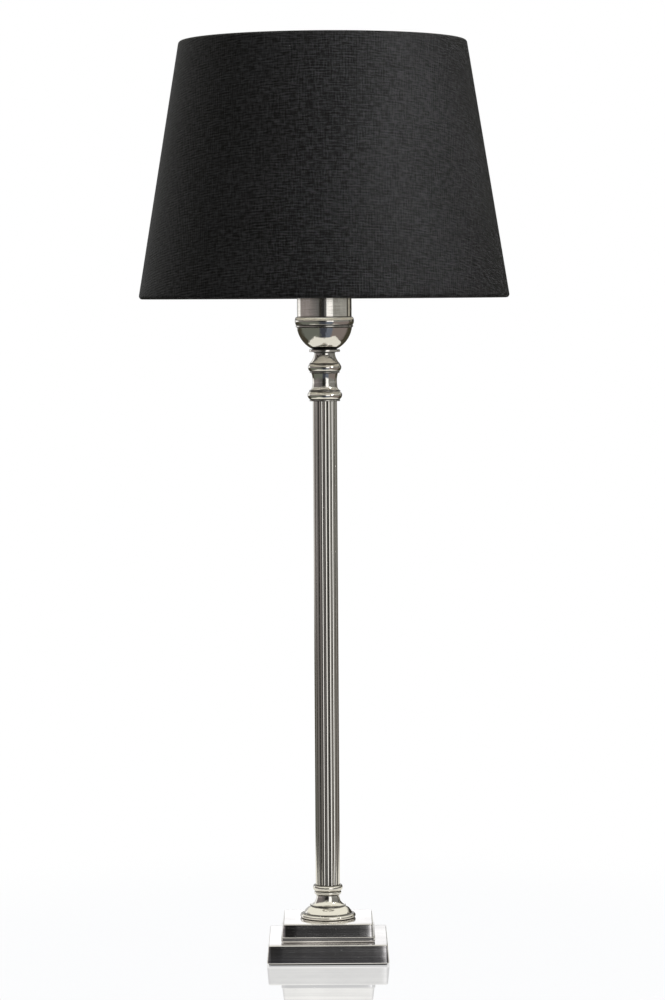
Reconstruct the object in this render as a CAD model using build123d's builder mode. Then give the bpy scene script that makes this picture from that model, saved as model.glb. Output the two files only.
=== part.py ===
from build123d import *
import math
import os

# Candlestick table lamp: stepped square plinth, turned foot, reeded column, turned capital,
# bowl-shaped cup and sleeve round the lampholder, and a tapered drum shade on a recessed carrier.
# Millimetres. Z is up from the table and is the axis of the column. +Y is the back of the lamp.

# Heights of the stack, from the table up. Each piece stands on the one before it.
felt_thickness = 1.2
lower_height = 14.8
upper_height = 15.0
foot_height = 26.6
column_length = 392.5  # what shows between the foot and the collar
collar_height = 8.1
drum_height = 16.0
knop_height = 15.0
washer_height = 3.1
cup_height = 25.6
sleeve_top = 553.0  # where the shade's carrier rests

lower_z = felt_thickness
upper_z = lower_z + lower_height
foot_z = upper_z + upper_height
column_z = foot_z + foot_height
collar_z = column_z + column_length
drum_z = collar_z + collar_height
knop_z = drum_z + drum_height
washer_z = knop_z + knop_height
cup_z = washer_z + washer_height
rim_z = cup_z + cup_height

# Plinth: two hollow castings with drafted sides, open below
lower_width = 98.2
lower_draft = 5.4
upper_width = 74.2
upper_draft = 7.3
plinth_corner = 3.0
plinth_wall = 3.2
plinth_top_wall = 3.5
moulding_width = 75.6
moulding_height = 4.7
moulding_under_round = 2.2
moulding_top_round = 0.65
register_width = 69.0
register_height = 1.2
register_play = 0.2
felt_width = 95.0
foot_chamfer = 0.7
edge_round = 0.9

# Rod and its fastenings
rod_radius = 4.9
rod_bore = 4.0
rod_hole = 5.2  # clearance in everything that the rod passes through
thread_clearance = 0.05
rod_bottom = 5.5
rod_top = 506.0
rod_chamfer = 0.5
nut_flats = 14.0
nut_height = 3.0
rod_washer_radius = 13.0
rod_washer_height = 1.2
lock_washer_radius = 7.6
lock_washer_height = 1.4

# Base weight
weight_radius = 42.0
weight_bore = 20.0
weight_height = 7.0
weight_slot = 12.0  # lets the flex in under the nut
weight_screw_pitch_radius = 31.0
screw_radius = 1.95
screw_head_radius = 4.0
screw_point = 0.7
screw_hole_depth = 3.0

# Grommet in the back wall
bush_z = 7.2
bush_face_y = 47.5
bush_radius = 4.0
bush_bore = 3.1
bush_flange_radius = 4.9
bush_flange = 1.6
bush_play = 0.3
bush_lip = 0.6  # what snaps behind the wall
bush_lip_y = 44.3
bush_inner_y = 43.1

# Column
column_radius = 9.8
reed_count = 16
reed_radius = 1.75
column_core = 8.75
column_bore = 7.0
column_seat = 9.95  # recess that takes an end of the tube
foot_seat_depth = 4.1
collar_seat_depth = 4.3

# Cup and sleeve
bowl_radius = 22.5
bowl_centre_z = cup_z + 20.0
bowl_wall = 1.5
sleeve_radius = 22.05
sleeve_wall = 1.0
sleeve_bottom = cup_z + 19.2

# Lampholder and bulb, for the 27 mm Edison thread
thread_pitch = 3.629
skirt_radius = 19.75
skirt_top = 563.0
shoulder_z = 523.0
shell_radius = 13.35  # inside the crests of the holder's shell
cap_crest = 13.25
bulb_radius = 30.0
bulb_bottom = 533.5
bulb_length = 105.0

# Shade
shade_bottom_radius = 149.0
shade_top_radius = 116.0
shade_bottom = 532.7
shade_top = 739.0
cloth = 0.6
hem_radius = 2.4  # middle of the cloth, round the roll
hem_length = 7.5
lining_thickness = 0.8
wire_radius = 1.5
seam_width = 12.0
seam_rise = 0.45
carrier_bore = 20.3
carrier_radius = 26.0
carrier_thickness = 1.2
running_gap = 0.05

os.makedirs("parts", exist_ok=True)


def keep(piece, name):
    """Labels a finished piece and writes it."""
    piece.part.label = name
    export_step(piece.part, f"parts/{name}.step")


def hex_nut(bottom):
    """A thin hexagonal nut round the rod, its outer corners turned off above and below."""
    corner = nut_flats / 2 / math.cos(math.radians(30))
    with BuildPart() as nut:
        with BuildSketch(Plane.XY.offset(bottom)):
            RegularPolygon(nut_flats / 2, 6, major_radius=False)
            Circle(rod_radius + thread_clearance, mode=Mode.SUBTRACT)
        extrude(amount=nut_height)
        with BuildSketch(Plane.XZ):
            with Locations((0, bottom)):
                Polygon(
                    (0, 0),
                    (nut_flats / 2, 0),
                    (corner, 0.6),
                    (corner, nut_height - 0.6),
                    (nut_flats / 2, nut_height),
                    (0, nut_height),
                    align=None,
                )
        revolve(axis=Axis.Z, mode=Mode.INTERSECT)
    return nut


# --- Plinth -------------------------------------------------------------------------------------

with BuildPart() as felt_pad:
    with BuildSketch():
        RectangleRounded(felt_width, felt_width, plinth_corner)
    extrude(amount=felt_thickness)
keep(felt_pad, "felt_pad")

lower_ceiling = upper_z - plinth_top_wall
with BuildPart() as lower_plinth:
    with BuildSketch(Plane.XY.offset(lower_z)):
        RectangleRounded(lower_width, lower_width, plinth_corner)
    extrude(amount=lower_height, taper=lower_draft)
    chamfer(lower_plinth.faces().sort_by(Axis.Z)[0].edges(), foot_chamfer)
    fillet(lower_plinth.faces().sort_by(Axis.Z)[-1].edges(), edge_round)
    with BuildSketch(Plane.XY.offset(upper_z)):
        RectangleRounded(register_width, register_width, plinth_corner)
    extrude(amount=register_height)
    cavity_width = lower_width - 2 * (plinth_wall + lower_height * math.tan(math.radians(lower_draft)))
    with BuildSketch(Plane.XY.offset(lower_z)):
        RectangleRounded(cavity_width, cavity_width, plinth_corner)
    extrude(amount=lower_height - plinth_top_wall, mode=Mode.SUBTRACT)
    with Locations((0, 0, upper_z)):
        Hole(rod_hole)
    with Locations(
        (weight_screw_pitch_radius, 0, lower_ceiling), (-weight_screw_pitch_radius, 0, lower_ceiling)
    ):
        Cylinder(
            screw_radius + thread_clearance,
            screw_hole_depth,
            align=(Align.CENTER, Align.CENTER, Align.MIN),
            mode=Mode.SUBTRACT,
        )
    with BuildSketch(Plane.XZ.offset(-bush_face_y)):
        with Locations((0, bush_z)):
            Circle(bush_flange_radius + bush_play)
    extrude(amount=-2 * bush_flange, mode=Mode.SUBTRACT)
    with BuildSketch(Plane.XZ.offset(-bush_face_y)):
        with Locations((0, bush_z)):
            Circle(bush_radius + thread_clearance)
    extrude(amount=2 * plinth_wall, mode=Mode.SUBTRACT)
keep(lower_plinth, "lower_plinth")

upper_body_z = upper_z + moulding_height
with BuildPart() as upper_plinth:
    with BuildSketch(Plane.XY.offset(upper_z)):
        RectangleRounded(moulding_width, moulding_width, plinth_corner + 0.7)
    extrude(amount=moulding_height)
    fillet(upper_plinth.faces().sort_by(Axis.Z)[0].edges(), moulding_under_round)
    fillet(upper_plinth.faces().sort_by(Axis.Z)[-1].edges(), moulding_top_round)
    with BuildSketch(Plane.XY.offset(upper_body_z)):
        RectangleRounded(upper_width, upper_width, plinth_corner)
    extrude(amount=upper_height - moulding_height, taper=upper_draft)
    fillet(upper_plinth.faces().sort_by(Axis.Z)[-1].edges(), edge_round)
    register_hole = register_width + 2 * register_play
    with BuildSketch(Plane.XY.offset(upper_z)):
        RectangleRounded(register_hole, register_hole, plinth_corner)
    extrude(amount=moulding_height, mode=Mode.SUBTRACT)
    upper_cavity = upper_width - 4 * plinth_wall
    with BuildSketch(Plane.XY.offset(upper_body_z)):
        RectangleRounded(upper_cavity, upper_cavity, plinth_corner)
    extrude(amount=upper_height - moulding_height - plinth_top_wall, mode=Mode.SUBTRACT)
    with Locations((0, 0, foot_z)):
        Hole(rod_hole)
keep(upper_plinth, "upper_plinth")

weight_z = lower_ceiling - weight_height
weight_underside = Plane(origin=(0, 0, weight_z), z_dir=(0, 0, -1))
with BuildPart() as base_weight:
    with BuildSketch(Plane.XY.offset(weight_z)):
        Circle(weight_radius)
        Circle(weight_bore, mode=Mode.SUBTRACT)
        with Locations((0, weight_radius)):
            Rectangle(weight_slot, 2 * weight_radius, mode=Mode.SUBTRACT)
    extrude(amount=weight_height)
    fillet(base_weight.edges().filter_by(GeomType.CIRCLE).group_by(Axis.Z)[0], edge_round)
    with Locations(weight_underside):
        with Locations((weight_screw_pitch_radius, 0), (-weight_screw_pitch_radius, 0)):
            CounterSinkHole(screw_radius + 0.3, screw_head_radius + 0.2, counter_sink_angle=90)
keep(base_weight, "base_weight")

screw_length = weight_height + screw_hole_depth - 0.2
with BuildPart() as weight_screws:
    for side in (-1, 1):
        screw_foot = (side * weight_screw_pitch_radius, 0, weight_z + 0.1)
        with BuildSketch(Plane(origin=screw_foot, x_dir=(1, 0, 0), z_dir=(0, -1, 0))):
            Polygon(
                (0, 0),
                (screw_head_radius, 0),
                (screw_radius, screw_head_radius - screw_radius),
                (screw_radius, screw_length - screw_point),
                (screw_radius - screw_point, screw_length),
                (0, screw_length),
                align=None,
            )
        revolve(axis=Axis(screw_foot, (0, 0, 1)))
        with Locations(screw_foot):
            Box(1.5 * screw_head_radius, 0.9, 1.4, mode=Mode.SUBTRACT)
keep(weight_screws, "weight_screws")

with BuildPart() as cord_bush:
    with BuildSketch(Plane.XZ.offset(-bush_face_y)):
        with Locations((0, bush_z)):
            Circle(bush_flange_radius)
    extrude(amount=-bush_flange)
    fillet(cord_bush.faces().sort_by(Axis.Y)[-1].edges(), bush_flange / 2)
    with BuildSketch(Plane.XZ.offset(-bush_face_y)):
        with Locations((0, bush_z)):
            Circle(bush_radius)
    extrude(amount=bush_face_y - bush_inner_y)
    with BuildSketch(Plane.XZ.offset(-bush_lip_y)):
        with Locations((0, bush_z)):
            Circle(bush_radius + bush_lip)
    extrude(amount=bush_lip_y - bush_inner_y)
    with BuildSketch(Plane.XZ.offset(-(bush_face_y + bush_flange))):
        with Locations((0, bush_z)):
            Circle(bush_bore)
    extrude(amount=bush_face_y + bush_flange - bush_inner_y, mode=Mode.SUBTRACT)
keep(cord_bush, "cord_bush")

# --- Rod and fastenings -------------------------------------------------------------------------

with BuildPart() as central_rod:
    with BuildSketch(Plane.XY.offset(rod_bottom)):
        Circle(rod_radius)
        Circle(rod_bore, mode=Mode.SUBTRACT)
    extrude(amount=rod_top - rod_bottom)
    chamfer(central_rod.edges().filter_by(GeomType.CIRCLE).group_by(SortBy.RADIUS)[-1], rod_chamfer)
keep(central_rod, "central_rod")

with BuildPart() as rod_washer:
    with BuildSketch(Plane.XY.offset(lower_ceiling - rod_washer_height)):
        Circle(rod_washer_radius)
        Circle(rod_hole, mode=Mode.SUBTRACT)
    extrude(amount=rod_washer_height)
keep(rod_washer, "rod_washer")

lock_washer_z = lower_ceiling - rod_washer_height - lock_washer_height
with BuildPart() as lock_washer:
    with BuildSketch(Plane.XY.offset(lock_washer_z)):
        Circle(lock_washer_radius)
        Circle(rod_hole, mode=Mode.SUBTRACT)
        with Locations(((rod_hole + lock_washer_radius) / 2, 0)):
            Rectangle(6.0, 1.2, rotation=15, mode=Mode.SUBTRACT)
    extrude(amount=lock_washer_height)
keep(lock_washer, "lock_washer")

rod_nut = hex_nut(lock_washer_z - nut_height)
keep(rod_nut, "rod_nut")

# --- Column -------------------------------------------------------------------------------------

with BuildPart() as column_foot:
    with BuildSketch(Plane.XZ):
        with BuildLine():
            bead = ThreePointArc((20.7, foot_z), (22.5, foot_z + 1.8), (20.7, foot_z + 3.6))
            step = Line(bead @ 1, (19.5, foot_z + 3.9))
            dome = ThreePointArc(step @ 1, (17.5, foot_z + 7.1), (14.4, foot_z + 9.3))
            ledge = Polyline(dome @ 1, (14.5, foot_z + 9.5), (14.5, foot_z + 10.4), (13.7, foot_z + 10.6))
            neck_top = foot_z + 18.7
            neck = EllipticalCenterArc(
                (13.7, neck_top), 4.5, neck_top - (ledge @ 1).Y, start_angle=270, arc_size=-90
            )
            lip = Line(neck @ 1, (9.9, neck_top))
            low_ring = ThreePointArc(lip @ 1, (10.95, foot_z + 20.1), (10.4, foot_z + 21.5))
            quirk = Line(low_ring @ 1, (10.7, foot_z + 21.8))
            high_ring = ThreePointArc(quirk @ 1, (12.05, foot_z + 24.2), (11.2, column_z))
            Polyline(
                high_ring @ 1,
                (column_seat, column_z),
                (column_seat, column_z - foot_seat_depth),
                (rod_hole, column_z - foot_seat_depth),
                (rod_hole, foot_z + 11.0),
                (9.5, foot_z + 9.0),
                (16.8, foot_z + 3.2),
                (17.6, foot_z),
                bead @ 0,
            )
        make_face()
    revolve(axis=Axis.Z)
keep(column_foot, "column_foot")

tube_bottom = column_z - foot_seat_depth
tube_top = collar_z + collar_seat_depth
with BuildPart() as column_tube:
    with BuildSketch(Plane.XY.offset(tube_bottom)):
        Circle(column_core)
        with PolarLocations(column_radius - reed_radius, reed_count):
            Circle(reed_radius)
        Circle(column_bore, mode=Mode.SUBTRACT)
    extrude(amount=tube_top - tube_bottom)
keep(column_tube, "column_tube")

with BuildPart() as column_collar:
    with BuildSketch(Plane.XZ):
        with BuildLine():
            disc = Polyline(
                (column_seat, collar_z), (12.3, collar_z), (12.3, collar_z + 1.2), (11.7, collar_z + 1.4)
            )
            torus = ThreePointArc(disc @ 1, (14.0, collar_z + 4.4), (12.4, collar_z + 7.9))
            Polyline(
                torus @ 1,
                (12.4, drum_z),
                (rod_hole, drum_z),
                (rod_hole, tube_top),
                (column_seat, tube_top),
                disc @ 0,
            )
        make_face()
    revolve(axis=Axis.Z)
keep(column_collar, "column_collar")

with BuildPart() as capital_drum:
    with BuildSketch(Plane.XZ):
        with BuildLine():
            waist = ThreePointArc((10.8, drum_z + 14.7), (9.85, drum_z + 7.6), (10.3, drum_z + 3.2))
            cove = TangentArc(waist @ 1, (12.5, drum_z + 0.7), tangent=waist % 1)
            Polyline(
                cove @ 1,
                (12.5, drum_z),
                (rod_hole, drum_z),
                (rod_hole, knop_z),
                (11.8, knop_z),
                (12.0, knop_z - 0.3),
                (12.0, knop_z - 1.3),
                waist @ 0,
            )
        make_face()
    revolve(axis=Axis.Z)
keep(capital_drum, "capital_drum")

with BuildPart() as capital_knop:
    with BuildSketch(Plane.XZ):
        with BuildLine():
            ball = ThreePointArc((11.9, knop_z), (13.5, knop_z + 2.9), (12.3, knop_z + 5.9))
            crest = Line(ball @ 1, (12.2, knop_z + 6.3))
            neck = ThreePointArc(crest @ 1, (9.6, knop_z + 9.9), (8.3, washer_z))
            Polyline(neck @ 1, (rod_hole, washer_z), (rod_hole, knop_z), ball @ 0)
        make_face()
    revolve(axis=Axis.Z)
keep(capital_knop, "capital_knop")

with BuildPart() as cup_washer:
    with BuildSketch(Plane.XZ):
        with BuildLine():
            Polyline(
                (rod_hole, washer_z),
                (8.9, washer_z),
                (8.9, washer_z + 0.5),
                (12.1, washer_z + 0.5),
                (12.4, washer_z + 0.8),
                (12.4, washer_z + 2.2),
                (12.1, washer_z + 2.5),
                (10.0, washer_z + 2.5),
                (10.0, cup_z),
                (rod_hole, cup_z),
                close=True,
            )
        make_face()
    revolve(axis=Axis.Z)
keep(cup_washer, "cup_washer")

# --- Cup and sleeve -----------------------------------------------------------------------------

with BuildPart() as socket_cup:
    with BuildSketch(Plane.XZ):
        with BuildLine():
            foot_angle = math.degrees(math.asin((cup_z - bowl_centre_z) / bowl_radius))
            brim_z = cup_z + 17.5
            brim_angle = math.degrees(math.asin((brim_z - bowl_centre_z) / bowl_radius))
            bowl = CenterArc((0, bowl_centre_z), bowl_radius, foot_angle, brim_angle - foot_angle)
            brim = Polyline(bowl @ 1, (23.2, brim_z), (23.2, brim_z + 1.1), (22.7, brim_z + 1.4))
            bead = ThreePointArc(brim @ 1, (23.95, cup_z + 22.4), (22.8, rim_z))
            inner_radius = bowl_radius - bowl_wall
            floor_z = cup_z + bowl_wall + 0.1
            floor_angle = math.degrees(math.asin((floor_z - bowl_centre_z) / inner_radius))
            seat_angle = math.degrees(math.asin((brim_z + 0.4 - bowl_centre_z) / inner_radius))
            inside = CenterArc((0, bowl_centre_z), inner_radius, seat_angle, floor_angle - seat_angle)
            Polyline(
                bead @ 1,
                (sleeve_radius + running_gap, rim_z),
                (sleeve_radius + running_gap, sleeve_bottom),
                (20.6, sleeve_bottom),
                inside @ 0,
            )
            Polyline(inside @ 1, (rod_hole, floor_z), (rod_hole, cup_z), bowl @ 0)
        make_face()
    revolve(axis=Axis.Z)
keep(socket_cup, "socket_cup")

with BuildPart() as socket_sleeve:
    with BuildSketch(Plane.XZ):
        with BuildLine():
            Polyline(
                (sleeve_radius, sleeve_bottom),
                (sleeve_radius, sleeve_top - 0.5),
                (sleeve_radius - 0.5, sleeve_top),
                (20.4, sleeve_top),
                (20.4, sleeve_top - sleeve_wall),
                (sleeve_radius - sleeve_wall, sleeve_top - sleeve_wall),
                (sleeve_radius - sleeve_wall, sleeve_bottom),
                close=True,
            )
        make_face()
    revolve(axis=Axis.Z)
keep(socket_sleeve, "socket_sleeve")

cup_nut = hex_nut(floor_z)
keep(cup_nut, "cup_nut")

# --- Lampholder ---------------------------------------------------------------------------------

holder_z = floor_z + nut_height + 0.3
cap_radius = 19.4
cap_seat = 17.7
insert_z = 515.5
with BuildPart() as holder_cap:
    with BuildSketch(Plane.XZ):
        with BuildLine():
            boss = Polyline(
                (rod_radius + thread_clearance, holder_z),
                (8.0, holder_z),
                (8.0, holder_z + 6.5),
            )
            shoulder = ThreePointArc(boss @ 1, (16.4, holder_z + 8.7), (cap_radius, holder_z + 14.5))
            hollow = ThreePointArc((15.8, insert_z - 1.5), (14.6, holder_z + 10.2), (8.0, holder_z + 8.1))
            Polyline(
                shoulder @ 1,
                (cap_radius, shoulder_z),
                (cap_seat, shoulder_z),
                (cap_seat, insert_z),
                (15.8, insert_z),
                hollow @ 0,
            )
            Polyline(hollow @ 1, (rod_radius + thread_clearance, holder_z + 8.1), boss @ 0)
        make_face()
    revolve(axis=Axis.Z)
keep(holder_cap, "holder_cap")

well_z = 528.0
insert_radius = 16.1
with BuildPart() as holder_insert:
    with BuildSketch(Plane.XZ):
        with BuildLine():
            Polyline(
                (0, insert_z),
                (cap_seat - 0.3, insert_z),
                (cap_seat - 0.3, insert_z + 2.4),
                (insert_radius, insert_z + 2.4),
                (insert_radius, 541.0),
                (14.6, 541.0),
                (14.6, well_z),
                (0, well_z),
                close=True,
            )
        make_face()
    revolve(axis=Axis.Z)
    with Locations((9.5, 0, well_z), (-9.5, 0, well_z)):
        CounterBoreHole(1.8, 3.6, 3.0)
keep(holder_insert, "holder_insert")

with BuildPart() as terminal_screws:
    for side in (-1, 1):
        terminal = (side * 9.5, 0, insert_z)
        with BuildSketch(Plane(origin=terminal, x_dir=(1, 0, 0), z_dir=(0, -1, 0))):
            Polygon(
                (0, -2.4), (3.2, -2.4), (3.2, -0.4), (1.7, -0.1), (1.7, 10.0), (0, 10.0), align=None
            )
        revolve(axis=Axis(terminal, (0, 0, 1)))
        with Locations((side * 9.5, 0, insert_z - 2.4)):
            Box(7.0, 0.8, 1.6, mode=Mode.SUBTRACT)
keep(terminal_screws, "terminal_screws")

leaf = 0.5
with BuildPart() as centre_contact:
    with BuildSketch(Plane.XZ):
        with BuildLine():
            Polyline(
                (-6.0, well_z + leaf / 2 + 0.02),
                (-1.0, well_z + leaf / 2 + 0.02),
                (3.5, well_z + 2.4),
                (0.5, bulb_bottom - leaf / 2 - 0.1),
                (-3.0, bulb_bottom - leaf / 2 - 0.9),
            )
        trace(line_width=leaf)
    extrude(amount=2.5, both=True)
keep(centre_contact, "centre_contact")

with BuildPart() as side_contact:
    with BuildSketch(Plane.XY.offset(well_z + 0.1)):
        with Locations((14.17, 0)):
            Rectangle(0.4, 4.0)
    extrude(amount=12.0)
keep(side_contact, "side_contact")

shell_bottom = 530.5
shell_wall = 0.45
with BuildPart() as screw_shell:
    with BuildSketch(Plane.XZ):
        with BuildLine():
            middle = shell_radius + shell_wall / 2
            plain = Line((middle, shell_bottom), (middle, 541.2))
            for turn in range(4):
                crest = plain @ 1 + Vector(0, turn * thread_pitch)
                groove = ThreePointArc(
                    crest, crest + Vector(0.5, thread_pitch / 2), crest + Vector(0, thread_pitch)
                )
            mouth = Line(groove @ 1, groove @ 1 + Vector(0, 2.5))
        trace(line_width=shell_wall)
    revolve(axis=Axis.Z)
keep(screw_shell, "screw_shell")

skirt_wall = 1.8
with BuildPart() as holder_skirt:
    with BuildSketch(Plane.XZ):
        with BuildLine():
            Polyline(
                (insert_radius + 0.2, insert_z + 2.6),
                (cap_seat - 0.1, insert_z + 2.6),
                (cap_seat - 0.1, shoulder_z + 0.1),
                (20.2, shoulder_z + 0.1),
                (20.2, shoulder_z + 2.0),
                (skirt_radius, shoulder_z + 2.4),
                (skirt_radius, skirt_top - 0.6),
                (skirt_radius - 0.6, skirt_top),
                (skirt_radius - skirt_wall, skirt_top),
                (skirt_radius - skirt_wall, 543.0),
                (insert_radius + 0.2, 541.2),
                close=True,
            )
        make_face()
    revolve(axis=Axis.Z)
keep(holder_skirt, "holder_skirt")

carrier_z = sleeve_top + running_gap
ring_z = carrier_z + carrier_thickness + running_gap
with BuildPart() as shade_ring:
    with BuildSketch(Plane.XZ):
        with BuildLine():
            Polyline(
                (skirt_radius + running_gap, ring_z),
                (26.5, ring_z),
                (26.5, ring_z + 1.4),
                (23.4, ring_z + 2.2),
                (23.0, ring_z + 7.4),
                (22.4, ring_z + 8.0),
                (skirt_radius + running_gap, ring_z + 8.0),
                close=True,
            )
        make_face()
    revolve(axis=Axis.Z)
    with BuildSketch(Plane.XY.offset(ring_z + 3.0)):
        with PolarLocations(24.2, 18):
            Circle(1.6)
    extrude(amount=6.0, mode=Mode.SUBTRACT)
keep(shade_ring, "shade_ring")

# --- Shade --------------------------------------------------------------------------------------

# The cloth is a thin skin whose ends roll round the wire rings. Points are (radius, height).
roll_outside = hem_radius + cloth / 2
bottom_roll = Vector(shade_bottom_radius - roll_outside, shade_bottom + roll_outside)
top_roll = Vector(shade_top_radius - roll_outside, shade_top - roll_outside)
slant = (top_roll - bottom_roll).normalized()
outward = Vector(slant.Y, -slant.X)
wire_offset = hem_radius - cloth / 2 - lining_thickness - 2 * running_gap - wire_radius
bottom_wire = bottom_roll + outward * wire_offset
top_wire = top_roll + outward * wire_offset
seam_angle = math.degrees(seam_width / shade_bottom_radius)
seam_start = 90 - seam_angle / 2

with BuildPart() as shade_fabric:
    with BuildSketch(Plane.XZ):
        with BuildLine():
            low_hem = Line(
                bottom_roll - outward * hem_radius + slant * hem_length, bottom_roll - outward * hem_radius
            )
            low_roll = ThreePointArc(
                low_hem @ 1, bottom_roll - slant * hem_radius, bottom_roll + outward * hem_radius
            )
            side_line = Line(low_roll @ 1, top_roll + outward * hem_radius)
            high_roll = ThreePointArc(
                side_line @ 1, top_roll + slant * hem_radius, top_roll - outward * hem_radius
            )
            Line(high_roll @ 1, high_roll @ 1 - slant * hem_length)
        trace(line_width=cloth)
    revolve(axis=Axis.Z)
    seam_plane = Plane(
        origin=(0, 0, 0),
        x_dir=(math.cos(math.radians(seam_start)), math.sin(math.radians(seam_start)), 0),
        z_dir=(math.sin(math.radians(seam_start)), -math.cos(math.radians(seam_start)), 0),
    )
    with BuildSketch(seam_plane):
        with BuildLine():
            Polyline(
                bottom_roll + outward * hem_radius,
                bottom_roll + outward * (roll_outside + seam_rise),
                top_roll + outward * (roll_outside + seam_rise),
                top_roll + outward * hem_radius,
                close=True,
            )
        make_face()
    revolve(axis=Axis.Z, revolution_arc=seam_angle)
    with PolarLocations(bottom_roll.X - hem_radius, 3, start_angle=90):
        with Locations((-0.4, 0, bottom_roll.Y)):
            Cylinder(wire_radius + 0.4, 2.0, rotation=(0, 90, 0), mode=Mode.SUBTRACT)
keep(shade_fabric, "shade_fabric")

with BuildPart() as shade_lining:
    with BuildSketch(Plane.XZ):
        with BuildLine():
            lining_out = hem_radius - cloth / 2 - running_gap
            lining_in = lining_out - lining_thickness
            Polyline(
                bottom_roll + outward * lining_in,
                bottom_roll + outward * lining_out,
                top_roll + outward * lining_out,
                top_roll + outward * lining_in,
                close=True,
            )
        make_face()
    revolve(axis=Axis.Z)
keep(shade_lining, "shade_lining")

for ring_name, centre in (("bottom_wire_ring", bottom_wire), ("top_wire_ring", top_wire)):
    with BuildPart() as wire_ring:
        with BuildSketch(Plane.XZ):
            with Locations((centre.X, centre.Y)):
                Circle(wire_radius)
        revolve(axis=Axis.Z)
    keep(wire_ring, ring_name)

with BuildPart() as fitter_ring:
    with BuildSketch(Plane.XY.offset(carrier_z)):
        Circle(carrier_radius)
        Circle(carrier_bore, mode=Mode.SUBTRACT)
    extrude(amount=carrier_thickness)
keep(fitter_ring, "fitter_ring")

arm_z = carrier_z - wire_radius
with BuildPart() as arm:
    with BuildLine(Plane.XZ) as arm_path:
        FilletPolyline(
            (sleeve_radius + 1.3, arm_z),
            (44.0, arm_z),
            (bottom_wire.X - wire_radius - running_gap, bottom_wire.Y),
            radius=25.0,
        )
    with BuildSketch(Plane(origin=arm_path.line @ 0, z_dir=arm_path.line % 0)):
        Circle(wire_radius)
    sweep()

with BuildPart() as fitter_arms:
    with PolarLocations(0, 3, start_angle=90):
        add(arm.part)
keep(fitter_arms, "fitter_arms")

# --- Bulb ---------------------------------------------------------------------------------------

cap_bottom = bulb_bottom + 3.2
cap_top = bulb_bottom + 27.0
cap_wall = 0.5
bulb_top = bulb_bottom + bulb_length
globe_z = bulb_top - bulb_radius
with BuildPart() as bulb_cap:
    with BuildSketch(Plane.XZ):
        with BuildLine():
            middle = cap_crest - cap_wall / 2
            foot_of_cap = Line((10.6, cap_bottom), (middle - 0.5, cap_bottom + 2.2))
            root = foot_of_cap @ 1
            for turn in range(5):
                thread = ThreePointArc(
                    root, root + Vector(0.5, thread_pitch / 2), root + Vector(0, thread_pitch)
                )
                root = thread @ 1
            Polyline(root, (middle, root.Y + 1.0), (middle, cap_top))
        trace(line_width=cap_wall)
    revolve(axis=Axis.Z)
keep(bulb_cap, "bulb_cap")

with BuildPart() as bulb_insulator:
    with BuildSketch(Plane.XZ):
        Polygon(
            (0, bulb_bottom + 0.9),
            (5.6, bulb_bottom + 0.9),
            (10.2, cap_bottom - 0.1),
            (10.2, cap_bottom + 1.6),
            (0, cap_bottom + 1.6),
            align=None,
        )
    revolve(axis=Axis.Z)
keep(bulb_insulator, "bulb_insulator")

with BuildPart() as bulb_tip:
    with BuildSketch(Plane.XZ):
        with BuildLine():
            face = ThreePointArc((0, bulb_bottom), (3.2, bulb_bottom + 0.25), (5.0, bulb_bottom + 0.85))
            Polyline(face @ 1, (0, bulb_bottom + 0.85), face @ 0)
        make_face()
    revolve(axis=Axis.Z)
keep(bulb_tip, "bulb_tip")

glass_wall = 1.0
neck_radius = cap_crest - cap_wall - 0.15
with BuildPart() as bulb_glass:
    with BuildSketch(Plane.XZ):
        with BuildLine():
            globe = CenterArc((0, globe_z), bulb_radius - glass_wall / 2, 89, -114)
            neck_top = (neck_radius + 1.2, cap_top + 6.0)
            shoulder_line = Spline(
                globe @ 1, neck_top, tangents=[globe % 1, Vector(-0.02, -1)], tangent_scalars=[0.9, 0.9]
            )
            Polyline(
                neck_top,
                (neck_radius - glass_wall / 2, cap_top + 0.6),
                (neck_radius - glass_wall / 2, cap_top - 2.2),
            )
        trace(line_width=glass_wall)
    revolve(axis=Axis.Z)
keep(bulb_glass, "bulb_glass")
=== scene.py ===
import math

import bmesh
import bpy
from mathutils import Matrix, Vector


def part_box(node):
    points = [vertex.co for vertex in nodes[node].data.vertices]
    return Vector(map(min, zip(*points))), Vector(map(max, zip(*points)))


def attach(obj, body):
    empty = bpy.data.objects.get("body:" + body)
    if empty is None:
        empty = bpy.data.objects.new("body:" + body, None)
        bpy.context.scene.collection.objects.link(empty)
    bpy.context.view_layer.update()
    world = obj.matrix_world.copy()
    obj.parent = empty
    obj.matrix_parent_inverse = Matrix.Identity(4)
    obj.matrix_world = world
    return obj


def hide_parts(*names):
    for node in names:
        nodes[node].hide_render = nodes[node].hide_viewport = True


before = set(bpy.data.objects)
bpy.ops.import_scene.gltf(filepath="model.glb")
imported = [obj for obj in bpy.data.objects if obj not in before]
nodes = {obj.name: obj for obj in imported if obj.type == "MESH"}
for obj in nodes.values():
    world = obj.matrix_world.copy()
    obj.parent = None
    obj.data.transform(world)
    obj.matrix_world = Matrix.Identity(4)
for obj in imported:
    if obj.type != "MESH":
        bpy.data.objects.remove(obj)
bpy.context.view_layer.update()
mm = 0.001

# --- Felt pad -----------------------------------------------------------------------------------
# A die-cut square of dark wool felt, glued under the plinth so that the casting doesn't scratch
# the table. Only its edge shows, as a thin matte line.


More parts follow.
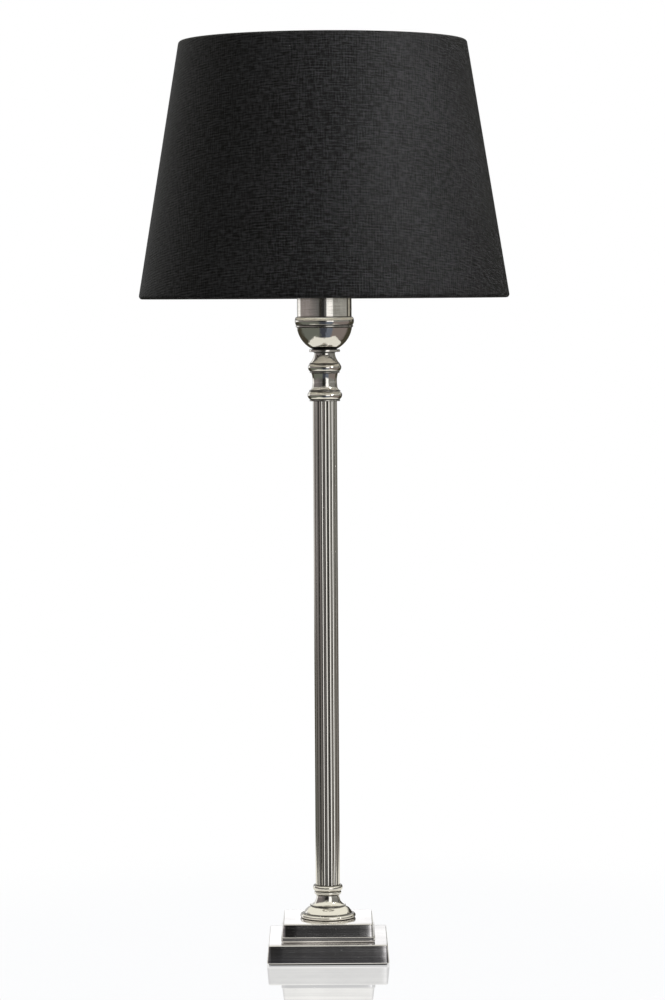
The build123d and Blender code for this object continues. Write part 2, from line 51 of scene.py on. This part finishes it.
class Socket:
    """One socket of a material's nodes. Arithmetic on it adds Math nodes to the material."""

    def __init__(self, tree, socket=None):
        self.tree = tree
        self.socket = socket

    def add(self, kind, settings=(), values=(), output=0):
        """Adds any other node: its settings first, then the values or links of its sockets."""
        node = self.tree.nodes.new(kind)
        for name, value in dict(settings).items():
            if name == "stops":
                node.color_ramp.elements.remove(node.color_ramp.elements[1])
                for place, colour in value:
                    stop = node.color_ramp.elements.new(place)
                    stop.color = (*colour, 1.0)
                node.color_ramp.elements.remove(node.color_ramp.elements[0])
            else:
                setattr(node, name, value)
        for name, value in dict(values).items():
            if isinstance(value, Socket):
                self.tree.links.new(value.socket, node.inputs[name])
            else:
                node.inputs[name].default_value = value
        return Socket(self.tree, node.outputs[output] if node.outputs else None)

    def maths(self, operation, *others):
        """A Math node on this value and, where the operation takes them, on others."""
        return self.add("ShaderNodeMath", {"operation": operation}, enumerate((self, *others)))

    def __add__(self, other):
        return self.maths("ADD", other)

    def __sub__(self, other):
        return self.maths("SUBTRACT", other)

    def __rsub__(self, other):
        return self.add("ShaderNodeMath", {"operation": "SUBTRACT"}, {0: other, 1: self})

    def __mul__(self, other):
        return self.maths("MULTIPLY", other)

    def __truediv__(self, other):
        return self.maths("DIVIDE", other)

    def __abs__(self):
        return self.maths("ABSOLUTE")

    __radd__ = __add__
    __rmul__ = __mul__

    def parts(self):
        """The X, Y and Z of this vector."""
        return [self.add("ShaderNodeSeparateXYZ", (), {0: self}, axis) for axis in "XYZ"]

    def between(self, low, high):
        """0 up to low, 1 from high on, and a smooth rise between them."""
        settings = {"interpolation_type": "SMOOTHSTEP"}
        values = {"Value": self, "From Min": low, "From Max": high}
        return self.add("ShaderNodeMapRange", settings, values)

    def noise(self, stretch, detail=2.0):
        """Noise along this vector, with that many lumps a metre along each axis."""
        scaled = self.add("ShaderNodeVectorMath", {"operation": "MULTIPLY"}, {0: self, 1: stretch})
        values = {"Vector": scaled, "Scale": 1.0, "Detail": detail}
        return self.add("ShaderNodeTexNoise", (), values)

    def blend(self, low_colour, high_colour):
        """From one colour to another as this goes from 0 to 1."""
        values = {0: self, 6: low_colour, 7: high_colour}
        return self.add("ShaderNodeMix", {"data_type": "RGBA"}, values, 2)


def start_finish(name):
    """A new material without nodes, and the place on the piece in its own metres."""
    material = bpy.data.materials.new(name)
    material.use_nodes = True
    material.node_tree.nodes.clear()
    return material, Socket(material.node_tree).add("ShaderNodeTexCoord", output="Object")


def end_finish(material, shader_values, height=None, depth=1.0):
    """Adds the shader and, where there is a height, its bump, depth metres at a height of 1."""
    tree = Socket(material.node_tree)
    if height is not None:
        bump = tree.add("ShaderNodeBump", (), {"Height": height, "Distance": depth})
        shader_values = {**shader_values, "Normal": bump}
    shader = tree.add("ShaderNodeBsdfPrincipled", (), shader_values)
    tree.add("ShaderNodeOutputMaterial", (), {"Surface": shader})


def dress(material, *names):
    """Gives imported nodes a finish."""
    for name in names:
        nodes[name].material_slots[0].material = material


felt, place = start_finish("felt")
fibres = place.noise((2600.0, 2600.0, 2600.0), 4.0)
tufts = place.noise((500.0, 500.0, 500.0))
felt_tone = (fibres * 0.6 + tufts * 0.4).blend((0.006, 0.006, 0.007, 1.0), (0.05, 0.05, 0.052, 1.0))
felt_values = {"Base Color": felt_tone, "Roughness": 0.95, "Specular IOR Level": 0.2}
end_finish(felt, felt_values, fibres, 0.3 * mm)
dress(felt, "felt_pad")

# --- Plinth -------------------------------------------------------------------------------------
# Two hollow zinc castings with drafted sides, nickel-plated, brushed level along the sides and
# then polished, so that the sides mirror the dark room and the ledges the white backdrop.
end_reach = 13.0 * mm  # from each corner, where polishing has worn the ends of a side
end_fall = 4.5  # per metre: how fast those ends fall away

for name in ("lower_plinth", "upper_plinth"):
    plinth_nickel, place = start_finish(name + "_nickel")
    brushing = place.noise((14.0, 14.0, 2600.0), 3.0)
    broad_brushing = place.noise((7.0, 7.0, 600.0), 3.0)
    wander = place.noise((26.0, 26.0, 34.0), 3.0)
    specks = place.noise((900.0, 900.0, 900.0), 1.0).between(0.7, 0.76)
    end_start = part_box(name)[1].x - end_reach
    fall = 0.0
    for along in place.parts()[:2]:
        past_start = (abs(along) - end_start).maths("MAXIMUM", 0.0)
        fall = fall + past_start * past_start * end_fall
    plinth_wear = (wander * 0.4 + broad_brushing * 0.6).between(0.38, 0.62) * 0.8 + specks * 0.5
    nickel_values = {
        "Base Color": plinth_wear.blend((0.92, 0.9, 0.9, 1.0), (0.52, 0.5, 0.5, 1.0)),
        "Roughness": 0.05 + brushing * 0.08 + wander * 0.05 + specks * 0.15,
        "Metallic": 1.0,
    }
    relief = (brushing * 0.5 + broad_brushing + wander * 25.0) * (0.005 * mm) - fall
    end_finish(plinth_nickel, nickel_values, relief)
    dress(plinth_nickel, name)

# --- Weight, rod and fastenings -----------------------------------------------------------------
# A raw cast-iron ring screwed under the plinth keeps the lamp steady. A hollow threaded steel rod,
# zinc-plated, runs from the nut under it to the nut in the cup, and squeezes the stack together.
cast_iron, place = start_finish("cast_iron")
sand = place.noise((1500.0, 1500.0, 1500.0), 4.0)
rust = place.noise((90.0, 90.0, 90.0), 4.0).between(0.5, 0.72)
iron_colour = rust.blend((0.045, 0.043, 0.042, 1.0), (0.11, 0.05, 0.025, 1.0))
iron_values = {"Base Color": iron_colour, "Roughness": 0.7 + sand * 0.25, "Metallic": 0.55 - rust * 0.5}
end_finish(cast_iron, iron_values, sand, 0.25 * mm)
dress(cast_iron, "base_weight")

zinced_steel, place = start_finish("zinced_steel")
spangle = place.noise((420.0, 420.0, 420.0), 3.0)
zinc_colour = spangle.blend((0.5, 0.52, 0.55, 1.0), (0.72, 0.73, 0.74, 1.0))
zinc_values = {"Base Color": zinc_colour, "Roughness": 0.22 + spangle * 0.25, "Metallic": 1.0}
end_finish(zinced_steel, zinc_values, spangle, 0.02 * mm)
dress(zinced_steel, "weight_screws", "rod_nut", "lock_washer", "rod_washer", "cup_nut")


def around(place):
    """Radius, angle in radians and height of a place, about the axis of the lamp."""
    x, y, z = place.parts()
    return (x * x + y * y).maths("SQRT"), x.maths("ARCTAN2", y), z


rod_pitch = 1.0 * mm
rod_thread, place = start_finish("rod_thread")
angle, height = around(place)[1:]
ridge = (height / rod_pitch + angle / math.tau).maths("PINGPONG", 0.5)
rod_values = {"Base Color": (0.6, 0.61, 0.63, 1.0), "Roughness": 0.2 + ridge * 0.3, "Metallic": 1.0}
end_finish(rod_thread, rod_values, ridge, 0.5 * mm)
dress(rod_thread, "central_rod")

black_rubber, place = start_finish("black_rubber")
bloom = place.noise((700.0, 700.0, 700.0), 3.0)
rubber_colour = bloom.blend((0.008, 0.008, 0.008, 1.0), (0.03, 0.03, 0.03, 1.0))
end_finish(black_rubber, {"Base Color": rubber_colour, "Roughness": 0.6}, bloom, 0.05 * mm)
dress(black_rubber, "cord_bush")

# --- Column -------------------------------------------------------------------------------------
# A slender brass tube drawn with sixteen reeds and silver-plated. Polishing leaves the crests
# bright, and the dark patina stays in the grooves between them.
silver_colour = (0.88, 0.85, 0.79, 1.0)
# Dark patina for the reeds' grooves and the quirks, and also the painted shade at the foot of the sleeve.
patina_and_shade_colour = (0.035, 0.03, 0.023, 1.0)
stained_radius = 9.02 * mm  # the patina is full up to here
clean_radius = 9.3 * mm  # and gone from here on, well below the crests
worn_share = 0.35  # of the reeds' height: how much flatter polishing makes them shine

reeded_silver, place = start_finish("reeded_silver")
radius = around(place)[0]
drawn = place.noise((1500.0, 1500.0, 7.0), 3.0)
mottle = place.noise((90.0, 90.0, 40.0), 4.0)
patina = (1.0 - radius.between(stained_radius, clean_radius)) * (0.85 + mottle * 0.6)
patina = patina.maths("MINIMUM", 1.0)
reed_values = {
    "Base Color": patina.blend(silver_colour, patina_and_shade_colour),
    "Roughness": 0.06 + drawn * 0.06 + patina * 0.25,
    "Metallic": 1.0 - patina * 0.3,
}
relief = (drawn * 0.5 + mottle * 3.0) * (0.008 * mm) - (radius - stained_radius) * worn_share
end_finish(reeded_silver, reed_values, relief)
dress(reeded_silver, "column_tube")

# --- Foot, capital and cup ----------------------------------------------------------------------
# Turned brass, silver-plated and polished: the foot that the tube stands in, the collar, drum and
# knop stacked on it, and the cup with its washer. Dark patina stays in every quirk and joint.
# Heights are in millimetres above the foot of each piece.
quirk_heights = {
    "column_foot": (0.0, 3.8, 10.0, 18.6, 21.65, 26.6),
    "column_collar": (0.0, 1.4, 8.1),
    "capital_drum": (0.6, 14.7, 16.0),
    "capital_knop": (0.0, 6.2, 15.0),
    "cup_washer": (0.3, 2.6, 3.1),
    "socket_cup": (0.0, 17.4, 19.0, 25.6),
}
quirk_core = 0.2 * mm  # either side of a quirk, where the patina is full
quirk_reach = 0.85 * mm  # and where it ends
crown_heights = {"column_collar": (4.4, 7.9), "capital_knop": (2.9, 6.3), "socket_cup": (22.4, 25.6)}
crown_fall = 70.0  # per metre: how fast polishing has taken the upper half of each ring away
hollow_heights = {"capital_knop": (6.5, 13.0), "column_foot": (10.3, 16.0)}
hollow_fall = 34.0  # per metre: how fast each swept neck is cut in towards its foot

for name, heights in quirk_heights.items():
    turned_silver, place = start_finish(name + "_silver")
    radius, angle, height = around(place)
    lathe_place = place.add("ShaderNodeCombineXYZ", (), {0: radius, 1: angle * 0.002, 2: height})
    lathe_rings = lathe_place.noise((2600.0, 60.0, 2600.0), 3.0)
    mottle = place.noise((140.0, 140.0, 140.0), 4.0)
    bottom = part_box(name)[0].z
    patina = 0.0
    for quirk in heights:
        quirk_distance = abs(height - (bottom + quirk * mm))
        patina = patina + (1.0 - quirk_distance.between(quirk_core, quirk_reach))
    patina = patina * (0.55 + mottle * 0.7)
    patina = patina.maths("MINIMUM", 1.0)
    turned_values = {
        "Base Color": patina.blend(silver_colour, patina_and_shade_colour),
        "Roughness": 0.05 + lathe_rings * 0.05 + mottle * 0.04 + patina * 0.25,
        "Metallic": 1.0 - patina * 0.3,
    }
    relief = (lathe_rings * 0.5 + mottle * 60.0) * (0.006 * mm)
    if name in hollow_heights:
        low, high = (bottom + limit * mm for limit in hollow_heights[name])
        drop = high - height.maths("MINIMUM", high).maths("MAXIMUM", low)
        relief = relief - drop * drop * hollow_fall
    if name in crown_heights:
        low, high = (bottom + limit * mm for limit in crown_heights[name])
        rise = height.maths("MINIMUM", high).maths("MAXIMUM", low) - low
        relief = relief - rise * rise * crown_fall
    end_finish(turned_silver, turned_values, relief)
    dress(turned_silver, name)

# --- Sleeve -------------------------------------------------------------------------------------
# A straight brass tube that hides the lampholder. It stands in the cup's rim, and its silver
# plating is brushed lightly up and down and across before the last polish.
sleeve_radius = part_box("socket_sleeve")[1].x
rim_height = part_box("socket_cup")[1].z

brushed_silver, place = start_finish("brushed_silver")
radius, angle, height = around(place)
wrapped = place.add("ShaderNodeCombineXYZ", (), {0: angle * sleeve_radius, 1: radius, 2: height})
up_strokes = wrapped.noise((1500.0, 1.0, 60.0), 3.0)
cross_strokes = wrapped.noise((60.0, 1.0, 1500.0), 3.0)
mottle = place.noise((130.0, 130.0, 130.0), 3.0)
# Painted shade: the sleeve is darkened towards the patina colour just above the cup's rim, where it stands
# in the rim.
rim_shadow = 1.0 - height.between(rim_height, rim_height + quirk_reach)
sleeve_tone = up_strokes * 0.3 + cross_strokes * 0.5 + mottle * 0.3
sleeve_colour = sleeve_tone.between(0.35, 0.8).blend(silver_colour, (0.62, 0.59, 0.54, 1.0))
sleeve_values = {
    "Base Color": (rim_shadow * 0.8).blend(sleeve_colour, patina_and_shade_colour),
    "Roughness": 0.05 + up_strokes * 0.04 + cross_strokes * 0.06,
    "Metallic": 1.0,
}
end_finish(brushed_silver, sleeve_values, up_strokes * 0.4 + cross_strokes * 0.6, 0.003 * mm)
dress(brushed_silver, "socket_sleeve")

# --- Lampholder ---------------------------------------------------------------------------------
# A black moulded lampholder screwed on the rod inside the cup: cap, skirt and clamping ring in
# phenolic, a porcelain insert, and spring contacts and a threaded shell in brass.
black_moulding, place = start_finish("black_moulding")
flow = place.noise((260.0, 260.0, 260.0), 4.0)
moulding_colour = flow.blend((0.009, 0.009, 0.01, 1.0), (0.022, 0.021, 0.02, 1.0))
end_finish(black_moulding, {"Base Color": moulding_colour, "Roughness": 0.2 + flow * 0.2}, flow, 0.03 * mm)
dress(black_moulding, "holder_cap", "holder_skirt", "shade_ring")

porcelain, place = start_finish("porcelain")
glaze = place.noise((220.0, 220.0, 220.0), 2.0)
porcelain_colour = glaze.blend((0.86, 0.85, 0.8, 1.0), (0.74, 0.72, 0.66, 1.0))
end_finish(porcelain, {"Base Color": porcelain_colour, "Roughness": 0.12 + glaze * 0.15}, glaze, 0.05 * mm)
dress(porcelain, "holder_insert")

contact_brass, place = start_finish("contact_brass")
stain = place.noise((380.0, 380.0, 380.0), 4.0)
brass_colour = stain.blend((0.83, 0.62, 0.27, 1.0), (0.52, 0.34, 0.13, 1.0))
brass_values = {"Base Color": brass_colour, "Roughness": 0.18 + stain * 0.25, "Metallic": 1.0}
end_finish(contact_brass, brass_values, stain, 0.02 * mm)
dress(contact_brass, "screw_shell", "centre_contact", "side_contact", "terminal_screws")

# --- Shade carrier, wires and lining ------------------------------------------------------------
# White powder-coated wire: a ring at each end of the shade, and three arms to the carrier ring
# that sits on the lampholder. A stiff cream plastic lining carries the linen between the wires.
white_wire, place = start_finish("white_wire")
peel = place.noise((900.0, 900.0, 900.0), 2.0)
wire_colour = peel.blend((0.84, 0.83, 0.8, 1.0), (0.72, 0.71, 0.68, 1.0))
end_finish(white_wire, {"Base Color": wire_colour, "Roughness": 0.35 + peel * 0.1}, peel, 0.05 * mm)
dress(white_wire, "fitter_ring", "fitter_arms", "bottom_wire_ring", "top_wire_ring")

cream_lining, place = start_finish("cream_lining")
grain = place.noise((1600.0, 1600.0, 1600.0), 2.0)
clouding = place.noise((14.0, 14.0, 14.0), 2.0)
lining_colour = clouding.blend((0.86, 0.83, 0.76, 1.0), (0.8, 0.77, 0.69, 1.0))
end_finish(cream_lining, {"Base Color": lining_colour, "Roughness": 0.55 + grain * 0.15}, grain, 0.04 * mm)
dress(cream_lining, "shade_lining")

# --- Linen --------------------------------------------------------------------------------------
# One piece of black linen, cut as part of a ring and bonded to the lining. It goes once round with
# a glued lap at the back, and both edges are rolled round the wires and turned up inside.
cloth = 0.6 * mm
glue = 0.05 * mm  # between the two layers of the lap
hem_radius = 2.4 * mm
hem_length = 7.5 * mm
hem_parts = (0.33, 0.66, 1.0)
linen_low, linen_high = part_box("shade_fabric")
roll_outside = hem_radius + cloth / 2
foot_radius = -linen_low.x
head_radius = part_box("top_wire_ring")[1].x + (foot_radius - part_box("bottom_wire_ring")[1].x)
bottom_roll = Vector((foot_radius - roll_outside, 0, linen_low.z + roll_outside))
top_roll = Vector((head_radius - roll_outside, 0, linen_high.z - roll_outside))
slant = (top_roll - bottom_roll).normalized()
outward = Vector((slant.z, 0, -slant.x))
side_length = (top_roll - bottom_roll).length
side_steps = 20
roll_steps = 12


def half_turn(roll, end):
    """The cloth's way round a wire: end is -1 at the bottom, from inside, and 1 at the top."""
    turns = [math.pi * step / roll_steps for step in range(roll_steps + 1)]
    return [roll + (outward * math.cos(turn) + slant * math.sin(turn)) * hem_radius * end for turn in turns]


profile = [bottom_roll - outward * hem_radius + slant * hem_length * part for part in hem_parts[::-1]]
profile += half_turn(bottom_roll, -1)
for step in range(1, side_steps):
    profile.append(bottom_roll + outward * hem_radius + slant * side_length * step / side_steps)
profile += half_turn(top_roll, 1)
profile += [top_roll - outward * hem_radius - slant * hem_length * part for part in hem_parts]

# The flat cut is part of a ring round the cone's apex, with its middle at the front of the shade.
turn_steps = 240
lap_steps = 3
step_angle = math.tau / turn_steps
lap_angle = lap_steps * step_angle
lap_start = math.pi / 2 - lap_angle / 2
cone_sine = -slant.x
bottom_reach = (bottom_roll + outward * hem_radius).x / cone_sine
line_length = [0.0]
for low, high in zip(profile, profile[1:]):
    line_length.append(line_length[-1] + (high - low).length)
side_start = line_length[len(hem_parts) + roll_steps]

linen_mesh = bpy.data.meshes.new("shade_linen")
linen = bpy.data.objects.new("shade_linen", linen_mesh)
bpy.context.collection.objects.link(linen)
bm = bmesh.new()
flat_place = bm.loops.layers.uv.new("cut")
first_turn = Matrix.Rotation(lap_start, 4, "Z")
rail = [bm.verts.new(first_turn @ point) for point in profile]
rail_edges = [bm.edges.new(pair) for pair in zip(rail, rail[1:])]
bmesh.ops.spin(
    bm,
    geom=rail + rail_edges,
    cent=(0, 0, 0),
    axis=(0, 0, 1),
    angle=math.tau + lap_angle,
    steps=turn_steps + lap_steps,
)
bm.verts.index_update()
bm.verts.ensure_lookup_table()
for vert in bm.verts:
    step = vert.index // len(profile)
    if step >= turn_steps:
        vert.co += Matrix.Rotation(lap_start + step * step_angle, 4, "Z") @ (outward * (cloth + glue))
for face in bm.faces:
    for loop in face.loops:
        step, row = divmod(loop.vert.index, len(profile))
        reach = bottom_reach - (line_length[row] - side_start)
        swing = (step * step_angle - (math.tau + lap_angle) / 2) * cone_sine
        loop[flat_place].uv = (reach * math.sin(swing), -reach * math.cos(swing))
bmesh.ops.recalc_face_normals(bm, faces=bm.faces)
bm.to_mesh(linen_mesh)
bm.free()
linen_mesh.shade_smooth()
thickness = linen.modifiers.new("cloth", "SOLIDIFY")
thickness.thickness = cloth
thickness.offset = 0.0

thread = 1.1 * mm  # from the top of one thread to the gap beside it
black_linen, place = start_finish("black_linen")
cut = place.add("ShaderNodeUVMap", {"uv_map": "cut"})
across, along = cut.parts()[:2]
sway = cut.noise((60.0, 60.0, 1.0), 2.0) * 0.8
warp = (across / thread + sway).maths("PINGPONG", 1.0)
weft = (along / thread + sway).maths("PINGPONG", 1.0)
warp_tone = cut.noise((0.9 / thread, 150.0, 1.0), 2.0)
weft_tone = cut.noise((150.0, 0.9 / thread, 1.0), 2.0)
slubs = cut.noise((70.0, 0.8 / thread, 1.0), 1.0).between(0.64, 0.8)
lint = cut.noise((380.0, 380.0, 1.0), 1.0).between(0.8, 0.84)
patchy = cut.noise((16.0, 16.0, 1.0), 3.0)
linen_tone = warp_tone * 0.45 + weft_tone * 0.6 + patchy * 0.12 + slubs * 0.2
linen_colour = linen_tone.between(0.44, 0.76).blend((0.001, 0.001, 0.001, 1.0), (0.024, 0.024, 0.0255, 1.0))
linen_values = {
    "Base Color": (lint * 0.4).blend(linen_colour, (0.3, 0.3, 0.3, 1.0)),
    "Roughness": 0.56,
    "Specular IOR Level": 0.125,
    "Sheen Weight": 0.01,
    "Sheen Roughness": 0.5,
    "Sheen Tint": (0.9, 0.85, 0.72, 1.0),
}
linen_height = warp * 0.25 + weft * 0.35 + warp_tone * 0.6 + weft_tone * 0.9 + slubs * 0.5
end_finish(black_linen, linen_values, linen_height, 0.45 * mm)
linen_mesh.materials.append(black_linen)
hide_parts("shade_fabric")
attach(linen, "shade")

# --- Bulb ---------------------------------------------------------------------------------------
# An opal globe bulb, switched off. White glass, a plated cap with a rolled Edison thread, and a
# black glass insulator round the soldered tip.
opal_glass, place = start_finish("opal_glass")
milk = place.noise((35.0, 35.0, 35.0), 2.0)
glass_colour = milk.blend((0.9, 0.9, 0.88, 1.0), (0.82, 0.82, 0.8, 1.0))
end_finish(opal_glass, {"Base Color": glass_colour, "Roughness": 0.12 + milk * 0.1, "Coat Weight": 0.5})
dress(opal_glass, "bulb_glass")

bulb_metal, place = start_finish("bulb_metal")
scuffs = place.noise((900.0, 900.0, 300.0), 4.0)
cap_colour = scuffs.blend((0.75, 0.75, 0.74, 1.0), (0.5, 0.5, 0.49, 1.0))
cap_values = {"Base Color": cap_colour, "Roughness": 0.2 + scuffs * 0.25, "Metallic": 1.0}
end_finish(bulb_metal, cap_values, scuffs, 0.02 * mm)
dress(bulb_metal, "bulb_cap", "bulb_tip")

bulb_vitrite, place = start_finish("bulb_vitrite")
seeds = place.noise((800.0, 800.0, 800.0), 2.0)
vitrite_colour = seeds.blend((0.006, 0.005, 0.006, 1.0), (0.02, 0.018, 0.02, 1.0))
end_finish(bulb_vitrite, {"Base Color": vitrite_colour, "Roughness": 0.1 + seeds * 0.1}, seeds, 0.05 * mm)
dress(bulb_vitrite, "bulb_insulator")

# --- Table --------------------------------------------------------------------------------------
# A white glossy table top. The camera sees a plain pale floor with the lamp's soft shadow and a
# faint mirror image near its foot. Metal mirrors a table of limited size.
floor_size = 1.5
table_half_width = 0.43
table_front = -0.30
table_back = 0.50
table_edge = 0.03
shadow_start = 0.2  # from the lamp's axis, where the shadow and the mirror image start to fade
shadow_end = 0.6
glow_share = 0.92  # of the floor near the lamp, the part that takes no shadow
mirror_share = 0.42  # of what the camera sees there, the part that is a mirror image
dusk_front = -0.06  # metal that sees the table at a slant sees it dark in front of this line
dusk_back = -0.03  # and pale behind this one

floor_mesh = bpy.data.meshes.new("floor")
floor = bpy.data.objects.new("floor", floor_mesh)
bpy.context.collection.objects.link(floor)
bm = bmesh.new()
bmesh.ops.create_grid(bm, x_segments=1, y_segments=1, size=floor_size)
bm.to_mesh(floor_mesh)
bm.free()


def ray_kinds(socket):
    """Whether a ray comes from the camera, and whether from a mirror or through glass."""
    camera_ray = socket.add("ShaderNodeLightPath", output="Is Camera Ray")
    glossy_ray = socket.add("ShaderNodeLightPath", output="Is Glossy Ray")
    through_ray = socket.add("ShaderNodeLightPath", output="Is Transmission Ray")
    return camera_ray, glossy_ray.maths("MAXIMUM", through_ray)


def mix(share, first, second):
    """One shader where share is 0, and the other where it is 1."""
    return share.add("ShaderNodeMixShader", (), {0: share, 1: first, 2: second})


# The mirror is quite sharp, because a singular ray is one from a sharp mirror, and the studio
# below is white to such a ray. That keeps the floor pale from every side.
table_top, place = start_finish("table_top")
radius = around(place)[0]
x, y = place.parts()[:2]
camera_ray, mirrored = ray_kinds(place)
far = radius.between(shadow_start, shadow_end)
off_side = abs(x).between(table_half_width, table_half_width + table_edge)
off_front = 1.0 - y.between(table_front - table_edge, table_front)
off_back = y.between(table_back, table_back + table_edge)
off_table = off_side.maths("MAXIMUM", off_front).maths("MAXIMUM", off_back)
white = place.add("ShaderNodeEmission", (), {"Color": (1.0, 1.0, 1.0, 1.0), "Strength": 1.0})
cream = place.add("ShaderNodeEmission", (), {"Color": (0.8, 0.79, 0.73, 1.0), "Strength": 1.0})
dusk = place.add("ShaderNodeEmission", (), {"Color": (0.05, 0.05, 0.055, 1.0), "Strength": 1.0})
matte = place.add("ShaderNodeBsdfDiffuse", (), {"Color": (0.9, 0.9, 0.9, 1.0)})
gloss = place.add("ShaderNodeBsdfGlossy", (), {"Color": (0.97, 0.98, 1.0, 1.0), "Roughness": 0.0})
clear = place.add("ShaderNodeBsdfTransparent", (), {"Color": (1.0, 1.0, 1.0, 1.0)})
lit = mix(camera_ray * (glow_share + far * (1.0 - glow_share)), matte, white)
polished = mix(camera_ray * (1.0 - far) * mirror_share, lit, gloss)
in_front = 1.0 - y.between(dusk_front, dusk_back)
grazing = place.add("ShaderNodeLayerWeight", output="Facing").between(0.6, 0.88) * in_front
gleam = mix(grazing, cream, dusk)
in_mirror = mix(off_table, gleam, clear)
seen = mix(mirrored, polished, in_mirror)
place.add("ShaderNodeOutputMaterial", (), {"Surface": seen})
floor_mesh.materials.append(table_top)

# --- Studio -------------------------------------------------------------------------------------
# The camera sees white all round. Metal mirrors a plain studio: a tall soft lamp to the right of
# the camera, dark curtains behind it, grey walls at the sides and white paper behind the lamp.
white_paper = (1.2, 1.2, 1.2)
pale_wall = (0.55, 0.55, 0.55)
left_wall = (0.33, 0.3, 0.3)
right_wall = (0.39, 0.39, 0.37)
dim_wall = (0.15, 0.15, 0.15)
cream_panel = (0.5, 0.48, 0.42)
black_curtain = (0.03, 0.03, 0.03)
brown_curtain = (0.045, 0.042, 0.035)
rear_floor = (0.055, 0.05, 0.035)
left_floor = (0.14, 0.15, 0.13)
front_floor = (0.05, 0.055, 0.07)
lit_floor = (0.14, 0.16, 0.2)
right_floor = (0.21, 0.18, 0.17)

# Each list goes round the room, in degrees to the right of the camera, with what stands there.
walls = [
    (-180, white_paper),
    (-174, white_paper),
    (-171, pale_wall),
    (-144, pale_wall),
    (-141, white_paper),
    (-123, white_paper),
    (-119, left_wall),
    (-72, left_wall),
    (-23, dim_wall),
    (-20, brown_curtain),
    (-5, black_curtain),
    (-1, black_curtain),
    (1.2, dim_wall),
    (9, dim_wall),
    (12, right_wall),
    (108, right_wall),
    (113, brown_curtain),
    (120, brown_curtain),
    (123, cream_panel),
    (133, cream_panel),
    (137, brown_curtain),
    (170, brown_curtain),
    (174, white_paper),
]
below = [
    (-125, rear_floor),
    (-110, left_floor),
    (-25, left_floor),
    (-16, front_floor),
    (6, front_floor),
    (10, lit_floor),
    (34, lit_floor),
    (40, right_floor),
    (110, right_floor),
    (125, rear_floor),
]
horizon_low = -0.22  # how far below level the walls end and the floor begins
horizon_high = -0.19
full_turn = 360.0

world = bpy.data.worlds.new("room")
bpy.context.scene.world = world
world.use_nodes = True
world.node_tree.nodes.clear()
direction = Socket(world.node_tree).add("ShaderNodeTexCoord", output="Generated")
x, y, z = direction.parts()
bearing = x.maths("ARCTAN2", y * -1.0) * math.degrees(1.0)
wall_colour, below_colour = (
    bearing.add(
        "ShaderNodeValToRGB",
        {"stops": [(degrees / full_turn + 0.5, colour) for degrees, colour in side]},
        {0: bearing / full_turn + 0.5},
    )
    for side in (walls, below)
)

# Bearings are in degrees, and heights are the sine of the angle above level.
level = 1.0 - abs(z).between(0.005, 0.04)
facing_camera = 1.0 - abs(bearing).between(125.0, 140.0)
wall_shade = (facing_camera * (1.0 - level) * 0.45).blend(wall_colour, (0.0, 0.0, 0.0, 1.0))
softbox = (bearing.between(8.5, 10.5) - bearing.between(35.0, 38.0)) * (1.0 - z.between(0.52, 0.6))
around_room = softbox.blend(wall_shade, (1.2, 1.2, 1.2, 1.0))
upper_room = z.between(0.28, 0.42).blend(around_room, (0.9, 0.89, 0.8, 1.0))
behind = abs(bearing).between(60.0, 110.0)
reflected = (z - behind * 0.12).between(horizon_low, horizon_high).blend(below_colour, upper_room)
camera_ray, mirrored = ray_kinds(direction)
ceiling_light = z.between(0.4, 0.7).blend((0.1, 0.1, 0.1, 1.0), (1.0, 1.0, 1.0, 1.0))
room_light = mirrored.blend(ceiling_light, reflected)
table_ray = direction.add("ShaderNodeLightPath", output="Is Singular Ray")
backdrop = camera_ray.maths("MAXIMUM", table_ray).blend(room_light, (1.0, 1.0, 1.0, 1.0))
background = direction.add("ShaderNodeBackground", (), {"Color": backdrop, "Strength": 1.0})
direction.add("ShaderNodeOutputWorld", (), {"Surface": background})

# The key and the fill are kept out of the mirrors, where the room's bright panels stand for them.
# The third has a honeycomb grid, so its narrow beam falls on the shade and leaves the silver dark.
for name, lamp_place, aim, size, power, beam, mirrored_too in (
    ("right_softbox", (2.4, -1.25, 1.7), (0, 0, 0.45), 0.8, 14.0, 180.0, False),
    ("left_softbox", (-2.4, 0.3, 1.3), (0, 0, 0.45), 1.2, 1.5, 180.0, False),
    ("shade_grid", (2.3, -1.6, 1.7), (0, 0, 0.66), 0.4, 1.0, 16.0, True),
):
    light = bpy.data.lights.new(name, "AREA")
    light.size = size
    light.energy = power
    light.spread = math.radians(beam)
    lamp = bpy.data.objects.new(name, light)
    bpy.context.collection.objects.link(lamp)
    lamp.location = lamp_place
    lamp.rotation_euler = (Vector(aim) - lamp.location).to_track_quat("-Z", "Y").to_euler()
    lamp.visible_glossy = mirrored_too

# The camera stands level with the shade's lower edge and looks slightly down.
camera_place = (0.0057, -2.9, 0.527)
focal_length = 129.46  # millimetres, for a picture 36 mm along its longer side
camera_data = bpy.data.cameras.new("camera")
camera_data.lens = focal_length
camera_data.sensor_width = 36.0
camera = bpy.data.objects.new("camera", camera_data)
bpy.context.collection.objects.link(camera)
camera.location = camera_place
look_down = math.radians(3.096)
lean = math.radians(-0.35)
camera_turn = Matrix.Rotation(math.pi / 2 - look_down, 3, "X") @ Matrix.Rotation(lean, 3, "Z")
camera.rotation_euler = camera_turn.to_euler()
bpy.context.scene.camera = camera
bpy.context.scene.view_settings.view_transform = "Standard"
